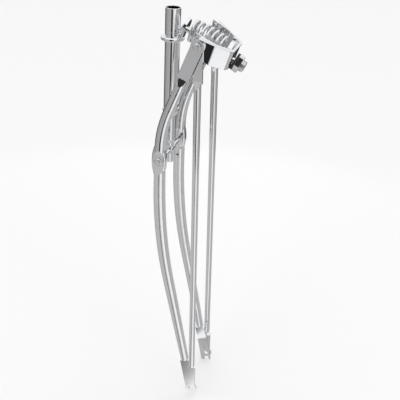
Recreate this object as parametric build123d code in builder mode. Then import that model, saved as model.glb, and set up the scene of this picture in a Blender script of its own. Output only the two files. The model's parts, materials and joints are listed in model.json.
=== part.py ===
from build123d import *
from math import sin, cos, tan, atan2, radians, degrees
import os

os.makedirs("parts", exist_ok=True)

# ---------------------------------------------------------------- driving dimensions (mm)
# Frame: origin on the steerer axis at the crown shoulder, +X forward, +Z up, right side is -Y.
steerer_d = 25.4  # one inch steerer
steerer_wall = 1.6
steerer_len = 170.0  # shoulder to open top
steerer_relief = 0.25  # the tube is this much smaller in radius below the bearing seat
bearing_seat = 132.0  # height where the ground seat for the upper bearing starts
plug_len = 18.0  # depth of the crown stem's socket in the steerer
butt = 0.5  # extra wall of the steerer round that socket
pivot_drop = 78.0  # shoulder down to the knee pivot axis
stem_tail = 25.0  # stem below the pivot axis
stem_d = 15.0

hub_gap = 102.0  # between the inner faces of the two dropouts
axle_r = 5.5  # axle eye radius
axle_fwd = 80.5  # axle ahead of the steerer axis
axle_drop = 519.0  # axle below the knee pivot
eye_fwd = 59.0  # top cross bolt ahead of the steerer axis
eye_rise = 206.0  # top cross bolt above the knee pivot
leg_back = 1.0  # straight middle of the leg, x of its centre line
leg_bend_up = 58.0  # corner of the upper bend above the pivot
leg_bend_low = 149.0  # corner of the lower bend below the pivot
upper_tangent = 39.4  # corner to the end of the upper bend's arc
lower_tangent = 103.4  # corner to the end of the lower bend's arc
leg_aim_back = 2.1  # the lower leg's axis passes this far behind the axle
leg_d = 21.2  # leg tube at its middle
leg_end_d = 16.0  # leg tube at both swaged ends
leg_wall = 1.6
strut_d = 12.0
strut_wall = 1.4

dropout_t = 3.5
tip_t = 3.0
lug_t = 5.0
lug_w = 21.0
tab_t = 4.0
tab_w = 16.0
ear_t = 3.0
gap = 0.3  # axial gap between parts that turn against each other
run = 0.05  # radial running clearance

top_bolt_r = 4.0
knee_bolt_r = 4.0
pivot_tube_r = 5.5
knee_half = 6.5  # the knee is squeezed flat to this half width
knee_block = 26.0  # the tube is solid this far above and below the pivot
knee_wide = 13.0  # half width of the squeezed tube, fore and aft
knee_long = 36.0  # and how far the spread runs out along the tube

spring_od = 39.0
spring_wire = 5.2
spring_len = 73.4
spring_pitch = 10.6
spring_slope = 22.5  # spring axis below horizontal, degrees
spring_x = 24.5  # rear end of the spring axis
spring_z = 218.1  # above the pivot
bolt_slope = 26.3  # spring bolt below horizontal, degrees
bolt_z = 215.5  # spring bolt axis above the pivot at spring_x
spring_bolt_r = 4.0
bracket_t = 5.0
bracket_w = 30.0
ring_bar_r = 3.6  # the bracket's ring is a round bar bent round the steerer
ring_z = 199.0  # bracket ring above the pivot
ring_d = 39.0

# ---------------------------------------------------------------- derived places
sides = (("right", -1), ("left", 1))
piv_z = -pivot_drop
eye = Vector(eye_fwd, 0, piv_z + eye_rise)
axle = Vector(axle_fwd, 0, piv_z - axle_drop)
drop_in = hub_gap / 2
drop_out = drop_in + dropout_t
tip_in = drop_out + 0.02
tip_out = tip_in + tip_t
leg_y = drop_in + dropout_t / 2
lug_out = leg_y + 3.3
lug_in = lug_out - lug_t
tab_out = lug_in - 0.02
tab_in = tab_out - tab_t
ear_out = tab_in - gap
ear_in = ear_out - ear_t
nut_out = ear_in - gap
boss_in = leg_y - knee_half
boss_out = leg_y + knee_half
leg_r = leg_d / 2
leg_end_r = leg_end_d / 2

upper_angle = atan2(eye_fwd - leg_back, eye_rise - leg_bend_up)
foot = axle - Vector(leg_aim_back, 0, 0)
lower_angle = atan2(foot.X - leg_back, axle_drop - leg_bend_low)
upper_dir = Vector(sin(upper_angle), 0, cos(upper_angle))
lower_dir = Vector(-sin(lower_angle), 0, cos(lower_angle))
leg_top_gap = 58.0  # eye to the end of the round tube
strut_angle = atan2(axle_fwd - eye_fwd, axle_drop + eye_rise)
tube_apart = leg_end_r + strut_d / 2 + 0.4
side_step = (tip_in + tip_out) / 2 - leg_y
leg_low_gap = (tube_apart**2 - side_step**2) ** 0.5 / sin(lower_angle - strut_angle)
strut_low_gap = 64.0
strut_top_gap = 60.0


def strut_line(side):
    """Eye end, axle end and direction of a strut's centre line."""
    top = Vector(eye.X, side * (tab_in + tab_out) / 2, eye.Z)
    low = Vector(axle.X, side * (tip_in + tip_out) / 2, axle.Z)
    return top, low, (top - low).normalized()


upper_r = upper_tangent / tan(upper_angle / 2)
lower_r = lower_tangent / tan(lower_angle / 2)

slope = radians(spring_slope)
spring_dir = Vector(cos(slope), 0, -sin(slope))
spring_up = Vector(sin(slope), 0, cos(slope))
spring_rear = Vector(spring_x, 0, piv_z + spring_z)
spring_front = spring_rear + spring_dir * spring_len
bslope = radians(bolt_slope)
bolt_dir = Vector(cos(bslope), 0, -sin(bslope))
bolt_rear = Vector(spring_x, 0, piv_z + bolt_z)


def along_y(x, z, y, turn=0.0):
    """Plane facing -Y at height z, its x axis turned up from +X by turn degrees."""
    t = radians(turn)
    return Plane(origin=(x, y, z), x_dir=(cos(t), 0, sin(t)), z_dir=(0, -1, 0))


def span(side, y_in, y_out):
    """Start y and extrude length towards -Y for a wall between y_in and y_out."""
    start = y_out if side > 0 else -y_in
    return start, y_out - y_in


# ---------------------------------------------------------------- steerer and crown
steerer_r = steerer_d / 2
bore_r = steerer_r - steerer_wall
ring_bore_r = steerer_r - steerer_relief + run
with BuildPart() as steerer:
    with BuildSketch(Plane.XZ):
        with BuildLine():
            Polyline(
                (bore_r - butt, 0),
                (steerer_r - steerer_relief, 0),
                (steerer_r - steerer_relief, bearing_seat),
                (steerer_r, bearing_seat),
                (steerer_r, steerer_len - 0.5),
                (steerer_r - 0.5, steerer_len),
                (bore_r + 0.5, steerer_len),
                (bore_r, steerer_len - 0.5),
                (bore_r, plug_len),
                (bore_r - butt, plug_len),
                (bore_r - butt, 0),
            )
        make_face()
    revolve(axis=Axis.Z)
steerer.part.label = "steerer"
export_step(steerer.part, "parts/steerer.step")

plug_r = bore_r - butt - 0.02
plug_top = plug_len - 0.5
collar_r = steerer_d / 2 + 1.4
stem_r = stem_d / 2
stem_low = piv_z - stem_tail
neck_r = 9.8
neck_low = piv_z + 14
with BuildPart() as crown:
    with BuildSketch(Plane.XZ):
        with BuildLine():
            Polyline(
                (0, stem_low),
                (stem_r - 1.0, stem_low),
                (stem_r, stem_low + 1.0),
                (stem_r, neck_low),
                (neck_r, neck_low + 4),
                (neck_r, -13),
                (collar_r - 1.0, -5),
                (collar_r, -4),
                (collar_r, -0.02),
                (plug_r, -0.02),
                (plug_r, plug_top),
                (0, plug_top),
                (0, stem_low),
            )
        make_face()
    revolve(axis=Axis.Z)
    with BuildSketch(along_y(0, piv_z, 9.0)):
        Circle(pivot_tube_r + 2.6)
    extrude(amount=18.0)
    with BuildSketch(along_y(0, piv_z, 30.0)):
        Circle(pivot_tube_r + 0.02)
    extrude(amount=60.0, mode=Mode.SUBTRACT)
crown.part.label = "crown_stem"
export_step(crown.part, "parts/crown_stem.step")

tube_end = boss_in - 0.8 - gap
with BuildPart() as pivot_tube:
    with BuildSketch(along_y(0, piv_z, tube_end)):
        Circle(pivot_tube_r)
        Circle(knee_bolt_r + run, mode=Mode.SUBTRACT)
    extrude(amount=2 * tube_end)
pivot_tube.part.label = "pivot_tube"
export_step(pivot_tube.part, "parts/pivot_tube.step")

# ---------------------------------------------------------------- spring bracket
seat_mid = spring_rear - spring_dir * (bracket_t / 2)
ring_top = piv_z + ring_z
neck_w = bracket_w * 0.7
ring_mid_r = ring_d / 2 - ring_bar_r
corner = seat_mid - spring_up * ((seat_mid.Z - ring_top) / spring_up.Z)
with BuildPart() as bracket:
    with BuildLine(Plane.XZ) as arm:
        FilletPolyline(
            (ring_mid_r / 2, ring_top),
            (corner.X, ring_top),
            (seat_mid.X, seat_mid.Z),
            radius=7.0,
        )
    with BuildSketch(Plane(origin=arm.line @ 0, x_dir=(0, 1, 0), z_dir=arm.line % 0)):
        SlotOverall(neck_w, 2 * ring_bar_r - 1.2)
    sweep()
    with BuildSketch(Plane(origin=seat_mid, x_dir=(0, 1, 0), z_dir=spring_dir)):
        Circle(bracket_w / 2)
    extrude(amount=bracket_t / 2, both=True)
    with BuildSketch(Plane.XY.offset(ring_top - ring_bar_r)):
        Circle(ring_mid_r)
    extrude(amount=2 * ring_bar_r)
    with Locations((0, 0, ring_top)):
        Torus(ring_mid_r, ring_bar_r)
    with BuildSketch(Plane(origin=bolt_rear - bolt_dir * 20, z_dir=bolt_dir)):
        Circle(spring_bolt_r + run)
    extrude(amount=40, mode=Mode.SUBTRACT)
    with BuildSketch(Plane.XY.offset(ring_top - 12)):
        Circle(ring_bore_r)
    extrude(amount=60, mode=Mode.SUBTRACT)
bracket.part.label = "spring_bracket"
export_step(bracket.part, "parts/spring_bracket.step")

# ---------------------------------------------------------------- spring and its bolt
wire_r = spring_wire / 2
with BuildPart() as spring:
    with BuildLine() as coil:
        Helix(
            pitch=spring_pitch,
            height=spring_len - spring_wire - 0.2,
            radius=spring_od / 2 - wire_r,
            center=spring_rear + spring_dir * (wire_r + 0.1),
            direction=spring_dir,
        )
    with BuildSketch(Plane(origin=coil.line @ 0, z_dir=coil.line % 0)):
        Circle(wire_r)
    sweep(is_frenet=True)
spring.part.label = "spring"
export_step(spring.part, "parts/spring.step")

seat_front_t = 8.0
seat_r = spring_od / 2 - 0.7


def on_bolt(x):
    """Point of the bolt axis at forward position x."""
    return bolt_rear + bolt_dir * ((x - bolt_rear.X) / bolt_dir.X)


plate_lean = 17.0  # front plate, normal below horizontal
lean = radians(plate_lean)
plate_dir = Vector(cos(lean), 0, -sin(lean))
plate_up = Vector(sin(lean), 0, cos(lean))
seat_end = spring_front + spring_dir * seat_front_t
plate_t = 3.0
plate_in = seat_end.X + 0.8  # inner face of the front plate at the bolt axis
hole = on_bolt(plate_in + plate_t / 2)

with BuildPart() as seat_front:
    with BuildSketch(Plane(origin=spring_front, x_dir=(0, 1, 0), z_dir=spring_dir)):
        Circle(seat_r)
    extrude(amount=seat_front_t)
    fillet(seat_front.edges().filter_by(GeomType.CIRCLE), 0.8)
    with BuildSketch(Plane(origin=on_bolt(spring_front.X) - bolt_dir * 20, x_dir=(0, 1, 0),
                           z_dir=bolt_dir)):
        SlotOverall(17.0, 10.4, rotation=90)
    extrude(amount=60, mode=Mode.SUBTRACT)
seat_front.part.label = "spring_seat_front"
export_step(seat_front.part, "parts/spring_seat_front.step")

# nuts and bumper on the bolt, in front of the yoke
bumper_t = 3.5
hex_t = 8.5
lock_t = 7.5
bumper_back = hole + bolt_dir * (plate_t / 2 + 3.0)
hex_back = bumper_back + bolt_dir * bumper_t
lock_back = hex_back + bolt_dir * hex_t
bolt_end = lock_back + bolt_dir * (lock_t - 1.0)

head_at = bolt_rear - bolt_dir * (bracket_t + 1.8)
with BuildPart() as spring_bolt:
    with BuildSketch(Plane(origin=head_at, z_dir=bolt_dir)):
        Circle(spring_bolt_r)
    extrude(amount=(bolt_end - head_at).length)
    with BuildSketch(Plane(origin=head_at, z_dir=-bolt_dir)):
        RegularPolygon(7.2, 6)
    extrude(amount=2.2)
spring_bolt.part.label = "spring_bolt"
export_step(spring_bolt.part, "parts/spring_bolt.step")


def bolt_disc(start, length, sketch_r, sides_n=0, bevel=0.6):
    """Round or six sided piece on the bolt with a through hole, bevelled at its free end."""
    with BuildPart() as piece:
        with BuildSketch(Plane(origin=start, x_dir=(0, 1, 0), z_dir=bolt_dir)):
            if sides_n:
                RegularPolygon(sketch_r, sides_n)
            else:
                Circle(sketch_r)
        extrude(amount=length)
        if not sides_n:
            chamfer(piece.edges().filter_by(GeomType.CIRCLE), bevel)
        with BuildSketch(Plane(origin=start - bolt_dir * 1, z_dir=bolt_dir)):
            Circle(spring_bolt_r + 0.03)
        extrude(amount=length + 2, mode=Mode.SUBTRACT)
    return piece


bumper = bolt_disc(bumper_back, bumper_t - 0.02, 14.5)
bumper.part.label = "bumper_washer"
export_step(bumper.part, "parts/bumper_washer.step")

hex_nut = bolt_disc(hex_back, hex_t - 0.02, 15.2, 6)
hex_nut.part.label = "spring_nut"
export_step(hex_nut.part, "parts/spring_nut.step")

with BuildPart() as lock_nut:
    with BuildSketch(Plane(origin=lock_back, x_dir=(0, 1, 0), z_dir=bolt_dir)):
        Circle(10.2)
    extrude(amount=1.6)
    with BuildSketch(Plane(origin=lock_back + bolt_dir * 1.6, x_dir=(0, 1, 0), z_dir=bolt_dir)):
        Circle(9.2)
    extrude(amount=lock_t - 1.6)
    chamfer(lock_nut.edges().filter_by(GeomType.CIRCLE).sort_by(Axis.X)[-1], 1.2)
    with BuildSketch(Plane(origin=lock_back - bolt_dir * 1, z_dir=bolt_dir)):
        Circle(spring_bolt_r + 0.03)
    extrude(amount=lock_t, mode=Mode.SUBTRACT)
lock_nut.part.label = "lock_nut"
export_step(lock_nut.part, "parts/lock_nut.step")

# ---------------------------------------------------------------- yoke
rim_slope = radians(26.0)
front_half = 26.0
bend_u = 24.0  # where the walls turn in towards the front
bend_half = 43.7
rim_half = 57.0  # rim's outer half width above the eye
rim_taper = 0.493
rim_front = 1.0  # rim beyond the front plate
yoke_plane = Plane(origin=eye, x_dir=plate_dir, z_dir=plate_up)
plate_u = yoke_plane.to_local_coords(hole).X + plate_t / 2
rear_u = -12.0
flange_t = 2.6


def yoke_outline(grow):
    """Outer outline of the yoke seen along its walls, grown outwards by grow."""
    with BuildSketch(mode=Mode.PRIVATE) as face:
        with BuildLine():
            Polyline(
                (rear_u - 20, -ear_out - grow),
                (8, -ear_out - grow),
                (bend_u, -bend_half - grow),
                (plate_u + grow, -front_half - grow),
                (plate_u + grow, front_half + grow),
                (bend_u, bend_half + grow),
                (8, ear_out + grow),
                (rear_u - 20, ear_out + grow),
                (rear_u - 20, -ear_out - grow),
            )
        make_face()
        near = [v for v in face.vertices() if v.X > plate_u + grow - 1]
        fillet(near, 9.0 + grow)
        bend = [v for v in face.vertices() if abs(v.X - bend_u) < 0.5]
        fillet(bend, 10.0)
    return face.sketch


def rim_outline():
    """Outer outline of the rim, straight along both sides and round at its front corners."""
    front = plate_u + rim_front
    front_v = rim_half - rim_taper * front
    rear = lug_w / 2 - 12
    rear_v = rim_half - rim_taper * rear
    with BuildSketch(mode=Mode.PRIVATE) as face:
        with BuildLine():
            Polyline((rear, -rear_v), (front, -front_v), (front, front_v), (rear, rear_v), (rear, -rear_v))
        make_face()
        fillet([v for v in face.vertices() if v.X > front - 1], 13.0)
    return face.sketch


rim_rise = 16.7  # top of the rim above the eye
wall_low = 37.0  # lower edge of the front part below the eye


def rim_line(depth):
    """Four corners of the band under the sloping rim, depth deep, seen from the side."""
    drop = tan(rim_slope)
    far = plate_u + 12
    near = -4
    return (
        (near, rim_rise - near * drop),
        (far, rim_rise - far * drop),
        (far, rim_rise - far * drop - depth),
        (near, rim_rise - near * drop - depth),
        (near, rim_rise - near * drop),
    )


with BuildPart() as rim_flange:
    with BuildSketch(yoke_plane):
        add(rim_outline())
        add(yoke_outline(-ear_t), mode=Mode.SUBTRACT)
    extrude(amount=60, both=True)
    with BuildSketch(along_y(eye.X, eye.Z, 100)):
        with BuildLine():
            Polyline(*rim_line(flange_t))
        make_face()
    extrude(amount=200, mode=Mode.INTERSECT)

with BuildPart() as yoke:
    with BuildSketch(yoke_plane):
        add(yoke_outline(0.0))
        add(yoke_outline(-ear_t), mode=Mode.SUBTRACT)
    extrude(amount=60, both=True)
    with BuildSketch(along_y(eye.X, eye.Z, 100)):
        with BuildLine():
            Polyline(
                (-5, rim_rise + 5 * tan(rim_slope)),
                (plate_u + 12, rim_rise - (plate_u + 12) * tan(rim_slope)),
                (plate_u + 12, -wall_low - 6),
                (39, -wall_low - 2),
                (16, -wall_low + 7),
                (6, -wall_low + 14),
                (-7, -8),
                (-5, rim_rise + 5 * tan(rim_slope)),
            )
        make_face()
        Circle(11.5)
    extrude(amount=200, mode=Mode.INTERSECT)
    add(rim_flange.part)
    with BuildSketch(Plane(origin=hole - plate_dir * (plate_t / 2), x_dir=(0, 1, 0),
                           z_dir=plate_dir)):
        Circle(15.5)
    extrude(amount=plate_t)
    with BuildSketch(Plane(origin=hole - bolt_dir * 8, x_dir=(0, 1, 0), z_dir=bolt_dir)):
        SlotOverall(15.0, 9.6, rotation=90)
    extrude(amount=20, mode=Mode.SUBTRACT)
    with BuildSketch(along_y(eye.X, eye.Z, 100)):
        Circle(top_bolt_r + run)
    extrude(amount=200, mode=Mode.SUBTRACT)
yoke.part.label = "yoke"
export_step(yoke.part, "parts/yoke.step")

# ---------------------------------------------------------------- legs


def leg_line(low_gap, top_gap):
    """Corners of the leg centre line between the axle and the eye, in x and z."""
    low = foot + lower_dir * low_gap
    top = eye - upper_dir * top_gap
    return (
        (low.X, low.Z),
        (leg_back, piv_z - leg_bend_low),
        (leg_back, piv_z + leg_bend_up),
        (top.X, top.Z),
    )


def leg_sweep(plane, low_gap, top_gap, thinner, mode):
    """Tapered round bar along the leg, its radius smaller by thinner."""
    with BuildLine(plane) as path:
        FilletPolyline(*leg_line(low_gap, top_gap), radius=(lower_r, upper_r))
    wire = path.wire()
    stations = (
        (0.0, leg_end_r),
        (0.18, leg_end_r + 1.4),
        (0.38, leg_r - 0.1),
        (0.66, leg_r),
        (0.85, leg_r - 1.4),
        (1.0, leg_end_r),
    )
    rings = []
    for at, r in stations:
        with BuildSketch(Plane(origin=wire @ at, z_dir=wire % at), mode=Mode.PRIVATE) as ring:
            Circle(r - thinner)
        rings.append(ring.sketch)
    sweep(sections=rings, path=wire, multisection=True, mode=mode)


def make_leg(side):
    y = side * leg_y
    face = Plane(origin=(0, y, 0), x_dir=(1, 0, 0), z_dir=(0, -1, 0))
    up = Plane(origin=eye + Vector(0, y, 0), x_dir=upper_dir, z_dir=(upper_dir.Z, 0, -upper_dir.X))
    flat = up.to_local_coords(Vector(eye.X, side * (lug_out + lug_in) / 2, eye.Z)).Y
    half = lug_t / 2
    wide = leg_end_r + 3
    with BuildPart() as hollow:
        leg_sweep(face, leg_low_gap + 4, leg_top_gap + 26, leg_wall, Mode.ADD)
        with Locations((leg_back, y, piv_z)):
            Box(60, 60, 2 * knee_block, mode=Mode.SUBTRACT)
    # tube wall pushed fore and aft where the knee is squeezed
    with BuildPart() as spread:
        start, length = span(side, boss_in, boss_out)
        with BuildSketch(along_y(leg_back - 1.0, piv_z, start)):
            Ellipse(knee_wide, knee_long)
        extrude(amount=length)
        fillet(spread.edges(), 4.0)
    with BuildPart() as leg:
        leg_sweep(face, leg_low_gap, leg_top_gap, 0.0, Mode.ADD)
        with Locations(foot + lower_dir * leg_low_gap + Vector(0, y, 0)):
            Sphere(leg_end_r)
        add(hollow.part, mode=Mode.SUBTRACT)
        # chisel shaped end of the tube, flattened from both sides
        for sign in (-1, 1):
            with BuildSketch(up):
                with BuildLine():
                    Polyline(
                        (-leg_top_gap - 22, sign * wide),
                        (-leg_top_gap + 8, sign * wide),
                        (-leg_top_gap + 8, flat + sign * half),
                        (-leg_top_gap + 2, flat + sign * half),
                        (-leg_top_gap - 22, sign * wide),
                    )
                make_face()
            extrude(amount=30, both=True, mode=Mode.SUBTRACT)
        # lug plate
        start, length = span(side, lug_in, lug_out)
        with BuildSketch(along_y(eye.X, eye.Z, start, 90 - degrees(upper_angle))):
            Circle(lug_w / 2 + 0.8)
            with Locations((-leg_top_gap / 2, 0)):
                Rectangle(leg_top_gap, lug_w)
            with Locations((-leg_top_gap - 5, 0)):
                Rectangle(14, lug_w - 5)
        extrude(amount=length)
        # knee squeezed flat from both sides
        for sign in (-1, 1):
            with BuildSketch(Plane(origin=(leg_back, y, piv_z), x_dir=(0, 1, 0), z_dir=(1, 0, 0))):
                with BuildLine():
                    Polyline(
                        (sign * (leg_r + 3), -knee_block + 2),
                        (sign * leg_r, -knee_block + 2),
                        (sign * knee_half, -13),
                        (sign * knee_half, 13),
                        (sign * leg_r, knee_block - 2),
                        (sign * (leg_r + 3), knee_block - 2),
                        (sign * (leg_r + 3), -knee_block + 2),
                    )
                make_face()
            extrude(amount=30, both=True, mode=Mode.SUBTRACT)
        add(spread.part)
        with BuildSketch(along_y(0, piv_z, side * leg_y + 20)):
            Circle(knee_bolt_r + 0.02)
        extrude(amount=40, mode=Mode.SUBTRACT)
        # top bolt hole and vents
        with BuildSketch(along_y(eye.X, eye.Z, y + 20)):
            Circle(top_bolt_r + 0.02)
        extrude(amount=40, mode=Mode.SUBTRACT)
        vent_start, vent_len = span(side, leg_y - leg_r - 2, leg_y)
        with BuildSketch(along_y(leg_back, piv_z - 32, vent_start)):
            Circle(2.0)
        extrude(amount=vent_len, mode=Mode.SUBTRACT)
        # slot for the dropout tongue
        start, length = span(side, drop_in - 0.05, drop_out + 0.05)
        with BuildSketch(along_y(foot.X, foot.Z, start, 90 + degrees(lower_angle))):
            with Locations((leg_low_gap, 0)):
                Rectangle(30, 2 * (leg_end_r - leg_wall) - 1.2)
        extrude(amount=length, mode=Mode.SUBTRACT)
    return leg


def make_dropout(side):
    start, length = span(side, drop_in, drop_out)
    plate_w = 21.0
    turn = 90 + degrees(lower_angle)
    with BuildPart() as plate:
        with BuildSketch(along_y(foot.X, foot.Z, start, turn)):
            with Locations(((leg_low_gap - leg_end_r - 0.4) / 2 - 9, 0)):
                Rectangle(leg_low_gap - leg_end_r - 0.4 + 18, plate_w)
            with Locations((leg_low_gap, 0)):
                Rectangle(28, 2 * (leg_end_r - leg_wall) - 1.4)
        extrude(amount=length)
        with BuildSketch(along_y(axle.X, axle.Z, start, turn)):
            with Locations((-14, 0)):
                Rectangle(28, 2 * axle_r - 1.0)
            Circle(axle_r)
            with Locations((17, 0)):
                Circle(2.6)
        extrude(amount=length, mode=Mode.SUBTRACT)
        low = plate.edges().filter_by(Axis.Y).sort_by(Axis.Z)[:4]
        fillet(low, 1.5)
        # room for the strut beside it
        strut_foot, line = strut_line(side)[1:]
        with BuildSketch(Plane(origin=strut_foot + line * (strut_low_gap - strut_d / 2 - 0.3), z_dir=line)):
            Circle(strut_d / 2 + 0.3)
        extrude(amount=60, mode=Mode.SUBTRACT)
    return plate


for name, side in sides:
    leg = make_leg(side)
    leg.part.label = "leg_" + name
    export_step(leg.part, "parts/leg_" + name + ".step")
    plate = make_dropout(side)
    plate.part.label = "dropout_" + name
    export_step(plate.part, "parts/dropout_" + name + ".step")

# ---------------------------------------------------------------- struts


def make_strut(side):
    top, low, line = strut_line(side)
    start = low + line * strut_low_gap
    end = top - line * (strut_top_gap - 14)
    r = strut_d / 2
    lean_x = degrees(atan2(line.X, line.Z))
    up = Plane(origin=top, x_dir=line, z_dir=(line.Z, 0, -line.X))
    half = tab_t / 2
    with BuildPart() as strut:
        with BuildSketch(Plane(origin=start, z_dir=line)):
            Circle(r)
        extrude(amount=(end - start).length)
        with Locations(start):
            Sphere(r)
        with BuildSketch(Plane(origin=start + line * 3, z_dir=line)):
            Circle(r - strut_wall)
        extrude(amount=(end - start).length - 48, mode=Mode.SUBTRACT)
        for sign in (-1, 1):
            with BuildSketch(up):
                with BuildLine():
                    Polyline(
                        (-strut_top_gap - 18, sign * (r + 3)),
                        (-strut_top_gap + 30, sign * (r + 3)),
                        (-strut_top_gap + 30, sign * half),
                        (-strut_top_gap + 4, sign * half),
                        (-strut_top_gap - 18, sign * (r + 3)),
                    )
                make_face()
            extrude(amount=30, both=True, mode=Mode.SUBTRACT)
        tab_start, length = span(side, tab_in, tab_out)
        with BuildSketch(along_y(eye.X, eye.Z, tab_start, 90 - lean_x)):
            Circle(tab_w / 2 + 2)
            with Locations((-strut_top_gap / 2, 0)):
                Rectangle(strut_top_gap, tab_w)
        extrude(amount=length)
        with BuildSketch(along_y(eye.X, eye.Z, top.Y + 10)):
            Circle(top_bolt_r + 0.02)
        extrude(amount=20, mode=Mode.SUBTRACT)
        vent_start, vent_len = span(side, low.Y * side - r - 1, low.Y * side)
        vent = start + line * 30
        with BuildSketch(along_y(vent.X, vent.Z, vent_start)):
            Circle(1.5)
        extrude(amount=vent_len, mode=Mode.SUBTRACT)
        slot_start, length = span(side, tip_in - 0.05, tip_out + 0.05)
        with BuildSketch(along_y(axle.X, axle.Z, slot_start, 90 - lean_x)):
            with Locations((strut_low_gap - 2, 0)):
                Rectangle(24, 2 * (r - strut_wall) - 1.2)
        extrude(amount=length, mode=Mode.SUBTRACT)
    return strut, lean_x


def make_tip(side, lean_x):
    start, length = span(side, tip_in, tip_out)
    r = strut_d / 2
    reach = strut_low_gap - r - 0.4
    with BuildPart() as tip:
        with BuildSketch(along_y(axle.X, axle.Z, start, 90 - lean_x)):
            Circle(axle_r + 6.2)
            with Locations((reach / 2, 0)):
                Rectangle(reach, tab_w)
            with Locations((strut_low_gap - 3, 0)):
                Rectangle(20, 2 * (r - strut_wall) - 1.4)
            Circle(axle_r, mode=Mode.SUBTRACT)
        extrude(amount=length)
    return tip


for name, side in sides:
    strut, lean_x = make_strut(side)
    strut.part.label = "strut_" + name
    export_step(strut.part, "parts/strut_" + name + ".step")
    tip = make_tip(side, lean_x)
    tip.part.label = "strut_tip_" + name
    export_step(tip.part, "parts/strut_tip_" + name + ".step")

# ---------------------------------------------------------------- fasteners


def disc(x, z, side, y_in, y_out, r, hole_r=0.0):
    """Flat washer or shank between y_in and y_out on one side."""
    start, length = span(side, y_in, y_out)
    with BuildSketch(along_y(x, z, start), mode=Mode.PRIVATE) as face:
        Circle(r)
        if hole_r:
            Circle(hole_r, mode=Mode.SUBTRACT)
    extrude(face.sketch, amount=length)


def head_edges(piece, side):
    """Outer rim of a bolt head."""
    return piece.edges().filter_by(GeomType.CIRCLE).sort_by(Axis.Y)[-1 if side > 0 else 0]


nut_in = nut_out - 1.2 - 6.0
for name, side in sides:
    with BuildPart() as top_bolt:
        disc(eye.X, eye.Z, side, nut_in - 1.5, lug_out + 0.02, top_bolt_r)
        disc(eye.X, eye.Z, side, lug_out + 0.02, lug_out + 1.2, 8.0)
        disc(eye.X, eye.Z, side, lug_out + 1.2, lug_out + 4.2, 6.6)
        fillet(head_edges(top_bolt, side), 2.2)
    top_bolt.part.label = "top_bolt_" + name
    export_step(top_bolt.part, "parts/top_bolt_" + name + ".step")

    with BuildPart() as top_nut:
        disc(eye.X, eye.Z, side, nut_out - 1.2, nut_out, 7.6, top_bolt_r + 0.03)
        start, length = span(side, nut_in, nut_out - 1.2)
        with BuildSketch(along_y(eye.X, eye.Z, start)):
            RegularPolygon(7.3, 6)
            Circle(top_bolt_r + 0.03, mode=Mode.SUBTRACT)
        extrude(amount=length)
    top_nut.part.label = "top_nut_" + name
    export_step(top_nut.part, "parts/top_nut_" + name + ".step")

    with BuildPart() as knee_bolt:
        disc(0, piv_z, side, boss_in - 22, boss_out + 0.02, knee_bolt_r)
        disc(0, piv_z, side, boss_out + 0.02, boss_out + 0.8, 7.8)
        disc(0, piv_z, side, boss_out + 0.8, boss_out + 3.4, 7.0)
        fillet(head_edges(knee_bolt, side), 2.4)
    knee_bolt.part.label = "knee_bolt_" + name
    export_step(knee_bolt.part, "parts/knee_bolt_" + name + ".step")

    with BuildPart() as knee_washer:
        disc(0, piv_z, side, boss_in - 0.8, boss_in - 0.02, 8.0, knee_bolt_r + 0.03)
    knee_washer.part.label = "knee_washer_" + name
    export_step(knee_washer.part, "parts/knee_washer_" + name + ".step")
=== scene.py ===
# %% [markdown]
# # A springer fork for a bicycle
#
# The fork is chromed steel: a steerer tube, two curved legs that pivot at its foot, two straight
# struts beside them, and a pressed yoke that works against a coil spring. The engineering model
# gives every part its exact shape and place. This lesson loads it, finds the places it needs by
# measuring, winds the spring, ribs its lock nut and gives each part a finish. All lengths are in
# metres: +X is forward and +Z is up the steerer.

# %% Load the measured parts
import json
import math

import bpy
from mathutils import Matrix, Vector


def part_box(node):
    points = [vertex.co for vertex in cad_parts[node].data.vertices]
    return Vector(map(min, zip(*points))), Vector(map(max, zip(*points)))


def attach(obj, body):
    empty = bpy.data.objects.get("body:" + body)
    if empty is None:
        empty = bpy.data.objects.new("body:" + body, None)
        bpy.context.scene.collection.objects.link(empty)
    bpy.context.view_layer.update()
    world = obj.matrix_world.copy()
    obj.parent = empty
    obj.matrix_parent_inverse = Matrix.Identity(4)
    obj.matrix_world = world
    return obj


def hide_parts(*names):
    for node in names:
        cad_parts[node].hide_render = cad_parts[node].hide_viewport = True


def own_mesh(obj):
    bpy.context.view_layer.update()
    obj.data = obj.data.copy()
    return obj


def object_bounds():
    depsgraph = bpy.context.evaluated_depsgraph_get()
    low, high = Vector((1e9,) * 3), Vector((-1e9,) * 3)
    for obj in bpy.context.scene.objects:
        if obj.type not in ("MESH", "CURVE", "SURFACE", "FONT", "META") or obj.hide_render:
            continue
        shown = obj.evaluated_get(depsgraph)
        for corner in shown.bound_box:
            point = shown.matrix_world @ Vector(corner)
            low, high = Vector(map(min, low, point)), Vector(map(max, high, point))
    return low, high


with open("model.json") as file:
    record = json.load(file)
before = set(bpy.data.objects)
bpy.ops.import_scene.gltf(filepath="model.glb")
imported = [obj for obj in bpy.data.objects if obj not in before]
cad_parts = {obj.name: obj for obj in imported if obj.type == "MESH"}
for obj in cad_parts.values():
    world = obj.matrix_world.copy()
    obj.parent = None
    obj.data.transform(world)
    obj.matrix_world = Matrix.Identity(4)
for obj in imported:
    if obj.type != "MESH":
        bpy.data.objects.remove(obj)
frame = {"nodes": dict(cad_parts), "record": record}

cad_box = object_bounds()
print("parts:", len(frame["nodes"]), "overall height:", round(cad_box[1].z - cad_box[0].z, 3))

# %% [markdown]
# ## The camera
#
# The fork is seen from its right side, a little from the front and from well above. The camera
# is placed on a sphere round a point inside the fork: two angles and a distance say where. A
# slight roll finishes it, as if the camera had been held by hand. Working from angles keeps the
# three numbers readable, where a typed matrix would not be.

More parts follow.
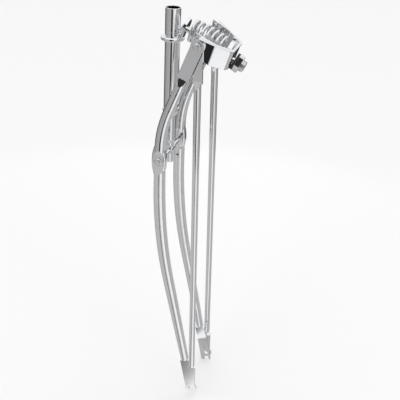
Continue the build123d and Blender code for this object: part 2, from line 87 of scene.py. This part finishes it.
# %% Camera on its sphere
swing = math.radians(15.54)
height = math.radians(30.47)
roll = math.radians(3.22)
distance = 1.1396
aim = Vector((0.0626, 0.0, -0.1731))
aim_nudge = 0.0009  # up and to the left, to centre the view

back = Vector((
    math.sin(swing) * math.cos(height),
    -math.cos(swing) * math.cos(height),
    math.sin(height)))
right = Vector((math.cos(swing), math.sin(swing), 0))
up = back.cross(right)
cam_x = right * math.cos(roll) + up * math.sin(roll)
cam_y = up * math.cos(roll) - right * math.sin(roll)
aim += (cam_y - cam_x) * aim_nudge
camera = bpy.data.objects.new("camera", bpy.data.cameras.new("camera"))
bpy.context.scene.collection.objects.link(camera)
camera.data.lens = 55.6
camera.data.sensor_width = 36
camera.matrix_world = Matrix.Translation(aim + back * distance) @ Matrix(
    (cam_x, cam_y, back)).transposed().to_4x4()
bpy.context.scene.camera = camera
print("camera at", [round(c, 3) for c in camera.location])

# %% [markdown]
# ## Shader expressions
#
# Finishes are easier to read as formulas than as boxes and wires. `Value` wraps an output socket
# so that Python's own operators add Math nodes, and `Shader.node` adds any other node from its
# settings and inputs.

# %% Sockets that can be added and multiplied
class Value:
    def __init__(self, shader, socket):
        self.shader = shader
        self.socket = socket

    def _math(self, operation, *inputs):
        return self.shader.node("ShaderNodeMath", {"operation": operation}, dict(enumerate(inputs)))

    def __add__(self, other):
        return self._math("ADD", self, other)

    def __mul__(self, other):
        return self._math("MULTIPLY", self, other)

    def __rsub__(self, other):
        return self._math("SUBTRACT", other, self)

    __radd__ = __add__
    __rmul__ = __mul__

    def clamp(self, low=0.0, high=1.0):
        return self._math("MINIMUM", self._math("MAXIMUM", self, low), high)

    def smooth(self, low, high):
        ranged = {"interpolation_type": "SMOOTHSTEP"}
        return self.shader.node("ShaderNodeMapRange", ranged, {0: self, 1: low, 2: high})


class Shader:
    def __init__(self, owner):
        self.owner = bpy.data.materials.new(owner) if isinstance(owner, str) else owner
        self.owner.use_nodes = True
        self.tree = self.owner.node_tree
        self.tree.nodes.clear()

    def node(self, kind, settings=None, inputs=None, output=0):
        made = self.tree.nodes.new(kind)
        for key, value in (settings or {}).items():
            if key == "stops":
                self._stops(made.color_ramp, value)
            else:
                setattr(made, key, value)
        for key, value in (inputs or {}).items():
            if isinstance(value, Value):
                self.tree.links.new(value.socket, made.inputs[key])
            else:
                made.inputs[key].default_value = value
        return Value(self, made.outputs[output]) if made.outputs else None

    def _stops(self, ramp, stops):
        while len(ramp.elements) < len(stops):
            ramp.elements.new(1.0)
        for element, (place, grey) in zip(ramp.elements, stops):
            element.position = place
            element.color = (grey, grey, grey, 1)

    def mix(self, share, first, second):
        settings = {"data_type": "RGBA"}
        return self.node("ShaderNodeMix", settings, {0: share, 6: first, 7: second}, output=2)

    def finish(self, surface, kind="ShaderNodeOutputMaterial"):
        self.node(kind, None, {"Surface": surface})
        return self.owner


print("shader helpers ready")

# %% [markdown]
# ## Polished chrome
#
# Chrome plate is a mirror, but a plated tube is never optically flat. The steel below was drawn,
# bent and buffed, so reflections wander a little along it. Three things carry the look: a
# metallic base that is nearly white, a low roughness that rises where polish compound was left
# and in fine buffing lines, and a very shallow bump that bends the reflections. Noise in object
# space is used for all three, because the parts share one frame and so the finish runs across
# them without a seam.

# %% Chrome
def noise(shader, place, scale, detail=3.0, stretch=(1, 1, 1)):
    """Grey noise between 0 and 1, stretched by a factor along each axis."""
    mapped = shader.node("ShaderNodeMapping", None, {"Vector": place, "Scale": stretch})
    return shader.node("ShaderNodeTexNoise", None,
                       {"Vector": mapped, "Scale": scale, "Detail": detail, "Roughness": 0.55})


def chrome(name, tint, polish, wave, lines, haze=0.06):
    """Bright plate: tint is its colour, polish its lowest roughness, wave the depth of its waviness."""
    shader = Shader(name)
    place = shader.node("ShaderNodeTexCoord", output=3)
    broad = noise(shader, place, 26.0, 2.0)
    fine = noise(shader, place, lines, 4.0, (1, 1, 0.06))
    smudge = noise(shader, place, 60.0, 5.0).smooth(0.52, 0.78)
    specks = noise(shader, place, 900.0, 2.0).smooth(0.70, 0.80)
    roughness = (polish + haze * smudge + 0.035 * fine.smooth(0.45, 0.8) + 0.10 * specks).clamp()
    dull = tuple(0.86 * c for c in tint[:3]) + (1,)
    colour = shader.mix((0.35 * smudge + 0.5 * specks).clamp(), tint, dull)
    relief = broad * wave + fine * (wave * 0.05)
    soft = shader.node("ShaderNodeBevel", {"samples": 4}, {"Radius": 0.0006})
    normal = shader.node("ShaderNodeBump", None,
                         {"Strength": 1.0, "Distance": 1.0, "Height": relief, "Normal": soft})
    surface = shader.node("ShaderNodeBsdfPrincipled", None, {
        "Base Color": colour, "Metallic": 1.0, "Roughness": roughness, "Normal": normal})
    return shader.finish(surface)


polished = chrome("polished_chrome", (0.88, 0.885, 0.90, 1), 0.035, 0.00012, 300.0)
bright_bolt = chrome("bolt_chrome", (0.82, 0.825, 0.84, 1), 0.07, 0.00008, 500.0, 0.10)
bright_spring = chrome("spring_chrome", (0.86, 0.865, 0.88, 1), 0.05, 0.00006, 400.0)
print("chromes made")

# %% [markdown]
# ## Rubber
#
# The bumper washer between the yoke and its nut is black rubber. It is matt, a little grey where
# it has been touched, and pitted by its mould.

# %% Rubber
def rubber(name):
    shader = Shader(name)
    place = shader.node("ShaderNodeTexCoord", output=3)
    dust = noise(shader, place, 80.0, 5.0).smooth(0.45, 0.75)
    pits = noise(shader, place, 1500.0, 2.0)
    colour = shader.mix(dust * 0.4, (0.018, 0.018, 0.019, 1), (0.06, 0.06, 0.058, 1))
    normal = shader.node("ShaderNodeBump", None, {"Strength": 0.5, "Distance": 0.0001, "Height": pits})
    surface = shader.node("ShaderNodeBsdfPrincipled", None,
                          {"Base Color": colour, "Roughness": 0.55 + 0.2 * dust, "Normal": normal})
    return shader.finish(surface)


black_rubber = rubber("black_rubber")
print("rubber made")

# %% Give every part its finish
finishes = {
    "chrome": polished,
    "bolt_chrome": bright_bolt,
    "spring_chrome": bright_spring,
    "rubber": black_rubber,
}
slot_of = {row["node"]: row["material_slot"] for row in frame["record"]["subparts"]}
for name, node in frame["nodes"].items():
    for slot in node.material_slots:
        slot.material = finishes[slot_of[name]]
print("finished parts:", len(slot_of))

# %% [markdown]
# ## The wound spring
#
# The spring carries the load, so it is drawn as it is wound: about seven and a half turns of round
# wire, with one closed turn at each end. A long spring that is held only at its ends bows a little,
# so its axis arches upwards. A screw modifier could make an even coil, but not the closed ends or
# the bow, so a tube is run along a computed line.
#
# The line's length comes from the box of the plain spring in the model, which stands at a known
# slope. The formula is exact for a full cylinder. A coil leaves the corners of its box empty, so
# the length comes out about a seventh short, and the wound spring stops some 5 mm before each of
# its seats.

# %% A tube along any line
def tube(name, lines, radius, sides=16):
    """One mesh of round bars, one along each line. Their rings don't twist."""
    corners = []
    faces = []
    for points in lines:
        first = len(corners)
        side = None
        for i, point in enumerate(points):
            along = (points[min(i + 1, len(points) - 1)] - points[max(i - 1, 0)]).normalized()
            side = along.orthogonal() if side is None else side - along * side.dot(along)
            side.normalize()
            other = along.cross(side)
            for k in range(sides):
                spoke = 2 * math.pi * k / sides
                corners.append(point + (side * math.cos(spoke) + other * math.sin(spoke)) * radius)
        for a in range(first, len(corners) - sides, sides):
            b = a + sides
            faces += [(a + k, a + (k + 1) % sides, b + (k + 1) % sides, b + k) for k in range(sides)]
        faces.append(tuple(range(first + sides - 1, first - 1, -1)))
        faces.append(tuple(range(len(corners) - sides, len(corners))))
    mesh = bpy.data.meshes.new(name)
    mesh.from_pydata(corners, [], faces)
    for face in mesh.polygons:
        face.use_smooth = len(face.vertices) == 4
    made = bpy.data.objects.new(name, mesh)
    bpy.context.scene.collection.objects.link(made)
    return made


print("tube helper ready")

# %% Measure the plain spring
spring_slope = math.radians(22.5)
spring_low, spring_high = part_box("spring")
span_x = spring_high.x - spring_low.x
span_z = spring_high.z - spring_low.z
cos_s, sin_s = math.cos(spring_slope), math.sin(spring_slope)
spring_len = (span_x * cos_s - span_z * sin_s) / (cos_s ** 2 - sin_s ** 2)
spring_od = (span_z * cos_s - span_x * sin_s) / (cos_s ** 2 - sin_s ** 2)
spring_axis = Vector((cos_s, 0, -sin_s))
spring_up = Vector((sin_s, 0, cos_s))
spring_middle = (spring_low + spring_high) / 2
print("spring length and diameter:", round(spring_len, 4), round(spring_od, 4))

# %% Wind the spring
wire = 0.0052
turns = 7.6
bow = math.radians(8.0)  # half the angle that the axis bends through
first_spin = 0.6  # where the wire starts round the axis, in radians


def wound_line(steps_per_turn=40):
    """Centre line of the wire: even turns with one closed turn at each end, on a bowed axis."""
    radius = spring_od / 2 - wire / 2
    arc_r = spring_len / (2 * math.sin(bow))
    sag = arc_r * (1 - math.cos(bow))
    pitch = (spring_len - 3 * wire) / (turns - 2)
    points = []
    for i in range(int(turns * steps_per_turn) + 1):
        turn = i / steps_per_turn
        closed = min(turn, 1.0) + max(turn - turns + 1.0, 0.0)
        reach = wire / 2 + wire * closed + pitch * (turn - closed)
        angle = bow * (2 * reach / spring_len - 1)
        centre = spring_middle + spring_axis * (arc_r * math.sin(angle)) + spring_up * (
            arc_r * math.cos(angle) - arc_r + sag * 0.5)
        lean = spring_up * math.cos(angle) + spring_axis * math.sin(angle)
        spin = 2 * math.pi * turn + first_spin
        points.append(centre + (lean * math.cos(spin) + Vector((0, 1, 0)) * math.sin(spin)) * radius)
    return points


coil = tube("wound_spring", [wound_line()], wire / 2)
coil.data.materials.append(bright_spring)
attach(coil, "steerer")
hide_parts("spring")
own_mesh(coil)
print("spring faces:", len(coil.data.polygons))

# %% [markdown]
# ## Grip ribs on the lock nut
#
# The round nut outside the hexagon is turned by hand, so its barrel is ribbed. The hexagonal nut
# next to it is even about its middle, so the middle of its box lies on the bolt's axis, and the
# ribs are set out from there.

# %% Ribs
bolt_slope = math.radians(26.3)
bolt_axis = Vector((math.cos(bolt_slope), 0, -math.sin(bolt_slope)))
bolt_up = Vector((math.sin(bolt_slope), 0, math.cos(bolt_slope)))
nut_low, nut_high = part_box("spring_nut")
half_nut = 0.0042
nut_face = (nut_low + nut_high) / 2 + bolt_axis * half_nut
barrel_r = 0.0092
barrel_ends = (0.0015, 0.0062)
rib_count = 36
rib_r = 0.00035
rib_lines = []
for i in range(rib_count):
    turn = 2 * math.pi * i / rib_count
    out = (bolt_up * math.cos(turn) + Vector((0, math.sin(turn), 0))) * barrel_r
    rib_lines.append([nut_face + out + bolt_axis * along for along in barrel_ends])
ribs = tube("lock_nut_ribs", rib_lines, rib_r, 8)
ribs.data.materials.append(bright_bolt)
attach(ribs, "steerer")
print("ribs:", rib_count)

# %% [markdown]
# ## The studio
#
# Chrome shows what stands round it more than it shows itself. An upright tube that is seen from
# above reflects a ring of floor, so the streaks down the tubes come from what lies on the floor
# round them: white paper, the grey of the room, and the thin dark gap that is the camera. A disc
# that only reflections can see carries that pattern as rays from its middle. The room itself is a
# soft white dome. The floor that the camera sees is plain and pale.

# %% Floor
ground = cad_box[0].z - 0.002
floor_size = 14
bpy.context.scene.view_settings.view_transform = "Standard"


def flat(name, material, size, place):
    """A plain square on the ground, standing for a floor or a disc of reflections."""
    mesh = bpy.data.meshes.new(name)
    r = size / 2
    mesh.from_pydata([(-r, -r, 0), (r, -r, 0), (r, r, 0), (-r, r, 0)], [], [(0, 1, 2, 3)])
    mesh.materials.append(material)
    made = bpy.data.objects.new(name, mesh)
    bpy.context.scene.collection.objects.link(made)
    made.location = place
    return made


def floor_paint():
    shader = Shader("floor_paint")
    return shader.finish(shader.node("ShaderNodeBsdfPrincipled", None,
                                     {"Base Color": (0.93, 0.93, 0.93, 1), "Roughness": 0.95}))


floor = flat("floor", floor_paint(), floor_size, Vector((0, 0, ground)))
floor.visible_glossy = False
print("floor at", round(floor.location.z, 3))

# %% Floor that only reflections see
near_rays = (
    (-180, 1.0), (-160, 0.8), (-135, 0.36), (-110, 0.50), (-28, 0.54), (-21, 0.26), (-14, 0.26),
    (-3, 0.45), (14, 0.95), (40, 1.0), (48, 0.40), (62, 0.44), (110, 0.50), (135, 0.40), (160, 0.9),
    (180, 1.0))
far_rays = (
    (-180, 0.04), (-150, 0.04), (-125, 0.14), (-100, 0.34), (-27, 0.44), (-21, 0.02), (-5, 0.02),
    (0, 0.30), (12, 0.85), (42, 0.95), (50, 0.30), (62, 0.36), (100, 0.40), (125, 0.20), (150, 0.04),
    (180, 0.04))


def reflection_floor(edge, soft):
    """Glowing floor: near_rays within edge metres of the middle, far_rays outside it."""
    shader = Shader("reflection_floor")
    place = shader.node("ShaderNodeTexCoord", output=3)
    x = shader.node("ShaderNodeSeparateXYZ", None, {0: place})
    y = shader.node("ShaderNodeSeparateXYZ", None, {0: place}, output=1)
    reach = shader.node("ShaderNodeVectorMath", {"operation": "LENGTH"}, {0: place}, output=1)
    turn = shader.node("ShaderNodeMath", {"operation": "ARCTAN2"}, {0: x, 1: -1.0 * y})
    share = turn * (0.5 / math.pi) + 0.5
    rings = []
    for rays in (near_rays, far_rays):
        stops = [(angle / 360 + 0.5, grey) for angle, grey in rays]
        rings.append(shader.node("ShaderNodeValToRGB", {"stops": stops}, {0: share}))
    glow = shader.mix(reach.smooth(edge - soft, edge + soft), rings[0], rings[1])
    return shader.finish(shader.node("ShaderNodeEmission", None, {"Color": glow, "Strength": 1.0}))


bright_reach = 1.15
blend_reach = 0.10
rays_middle = Vector((0.03, 0, ground + 0.0005))
rays_paint = reflection_floor(bright_reach, blend_reach)
mirror_floor = flat("reflection_floor", rays_paint, floor_size, rays_middle)
mirror_floor.rotation_euler.z = swing
for ray in ("camera", "diffuse", "transmission", "volume_scatter", "shadow"):
    setattr(mirror_floor, "visible_" + ray, False)
print("rays on the floor:", len(near_rays))

# %% Soft dome
dome_rays = (
    (-180, 0.9), (-120, 0.75), (-100, 0.25), (-60, 0.55), (-30, 0.5), (-22, 0.03), (12, 0.03),
    (20, 0.9), (48, 0.9), (56, 0.15), (100, 0.3), (125, 0.8), (180, 0.9))


def soft_dome():
    """White overhead, grey and black round the sides, plain where the camera looks at it."""
    shader = Shader(bpy.data.worlds.new("dome"))
    direction = shader.node("ShaderNodeTexCoord")
    turned = shader.node("ShaderNodeVectorRotate", {"rotation_type": "Z_AXIS"},
                         {"Vector": direction, "Angle": -swing})
    x, y, rise = (
        shader.node("ShaderNodeSeparateXYZ", None, {0: turned}, output=axis) for axis in range(3))
    turn = shader.node("ShaderNodeMath", {"operation": "ARCTAN2"}, {0: x, 1: -1.0 * y})
    stops = [(angle / 360 + 0.5, grey) for angle, grey in dome_rays]
    sides = shader.node("ShaderNodeValToRGB", {"stops": stops}, {0: turn * (0.5 / math.pi) + 0.5})
    lit = shader.mix(rise.smooth(0.62, 0.80), sides, (1, 1, 1, 1))
    diffuse = shader.node("ShaderNodeLightPath", output=2)
    camera_ray = shader.node("ShaderNodeLightPath")
    sky = shader.mix((diffuse + camera_ray).clamp(), lit, (1, 1, 1, 1))
    background = shader.node("ShaderNodeBackground", None, {"Color": sky, "Strength": 1.05})
    return shader.finish(background, "ShaderNodeOutputWorld")


bpy.context.scene.world = soft_dome()
print("dome ready")
